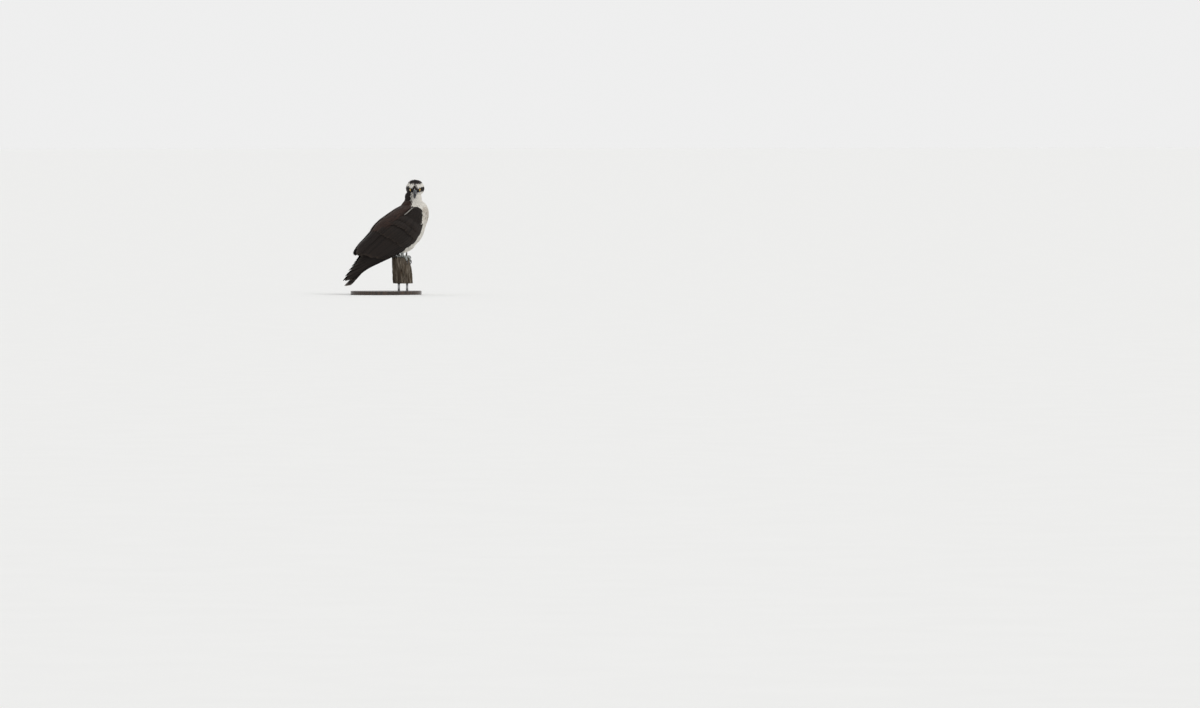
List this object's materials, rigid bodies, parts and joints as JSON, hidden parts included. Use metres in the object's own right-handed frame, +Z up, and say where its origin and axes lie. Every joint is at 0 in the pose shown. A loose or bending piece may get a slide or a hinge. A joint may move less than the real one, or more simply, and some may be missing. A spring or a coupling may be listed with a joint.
{
  "type": "osprey",
  "caption": "Life-size standing osprey with folded wings and its head turned to one side, gripping the broken top of a dead limb on an oval display stand.",
  "frame": {"origin": "centre of the bounding box at the underside of the stand's base", "axes": "+X the way the bird's body heads, +Y its left, +Z up"},
  "size_m": [0.3652, 0.2, 0.4727],
  "materials": {
    "plumage_brown": "dark brown feathers, soft sheen",
    "plumage_white": "white feathers, matte",
    "bill": "smooth dark horn",
    "eye": "wet gloss",
    "leg_skin": "pale scaled skin",
    "claw": "smooth black horn",
    "weathered_wood": "grey, furrowed and dry",
    "stand_wood": "dark satin varnish",
    "stand_steel": "brushed"
  },
  "bodies": {
    "root": {"torso": "plumage_white", "neck": "plumage_white", "head": "plumage_white", "bill_upper": "bill", "bill_lower": "bill", "tail": "plumage_brown", "perch_limb": "weathered_wood", "stand_base": "stand_wood", "stand_rod_1": "stand_steel", "stand_rod_2": "stand_steel", "eye_right": "eye", "wing_right": "plumage_brown", "thigh_right": "plumage_white", "shank_right": "leg_skin", "foot_right": "leg_skin", "claw_right_inner": "claw", "claw_right_middle": "claw", "claw_right_outer": "claw", "claw_right_hind": "claw", "eye_left": "eye", "wing_left": "plumage_brown", "thigh_left": "plumage_white", "shank_left": "leg_skin", "foot_left": "leg_skin", "claw_left_inner": "claw", "claw_left_middle": "claw", "claw_left_outer": "claw", "claw_left_hind": "claw"}
  },
  "joints": []
}
